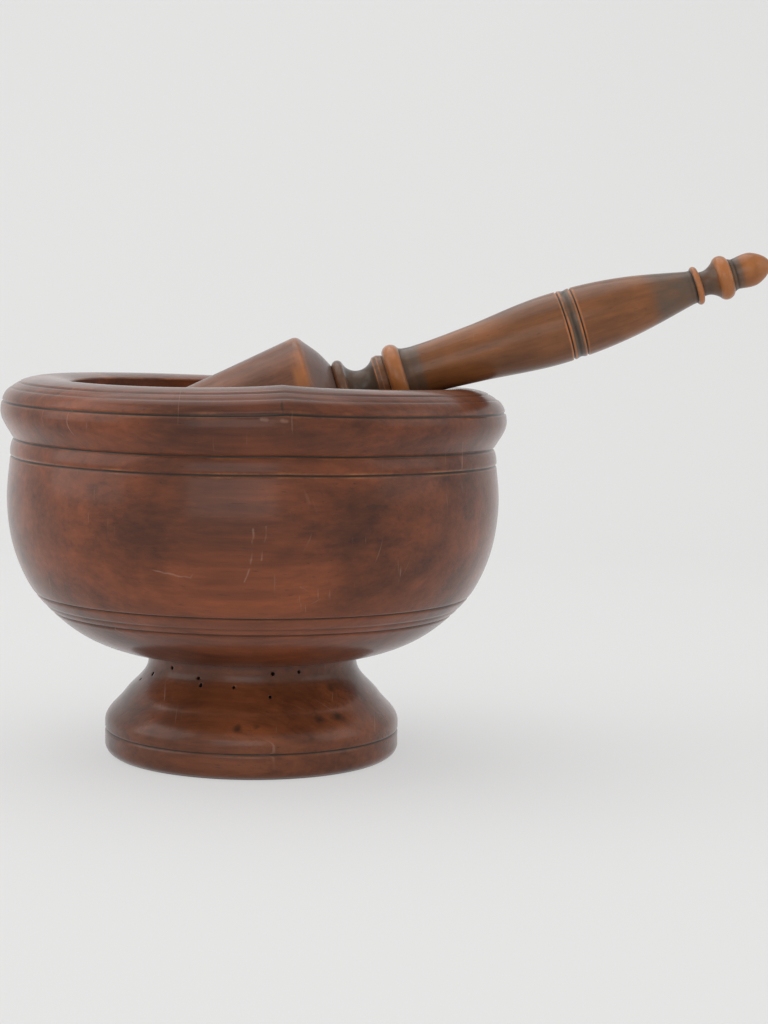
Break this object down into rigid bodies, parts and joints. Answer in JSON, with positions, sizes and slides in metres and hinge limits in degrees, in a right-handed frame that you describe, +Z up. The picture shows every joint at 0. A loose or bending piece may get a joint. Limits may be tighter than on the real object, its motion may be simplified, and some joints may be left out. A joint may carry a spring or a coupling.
{
  "type": "mortar and pestle",
  "caption": "Turned wooden mortar: round bowl with moulded rim on a flared foot, and a loose pestle with tapered head and turned handle leaning across the rim.",
  "frame": {"origin": "centre of the underside of the mortar's foot", "axes": "+Z up along the mortar's axis, +X towards the pestle's handle"},
  "size_m": [0.3278, 0.216, 0.2198],
  "materials": {
    "bowl_wood": "reddish brown stained and waxed, satin, horizontal turning grain",
    "foot_wood": "reddish brown stained and waxed, satin, with old beetle holes",
    "head_wood": "brown waxed wood, worn orange on the shoulder edge",
    "handle_wood": "hand-polished brown wood, orange on the beads, nearly black in the hollows"
  },
  "bodies": {
    "mortar": {"mortar_bowl": "bowl_wood", "mortar_foot": "foot_wood"},
    "pestle": {"pestle_head": "head_wood", "pestle_handle": "handle_wood"}
  },
  "joints": [
    {"name": "pestle_lift", "type": "slide", "parent": "mortar", "child": "pestle", "axis": [0, 0, 1], "range_m": [0, 0.12]}
  ]
}
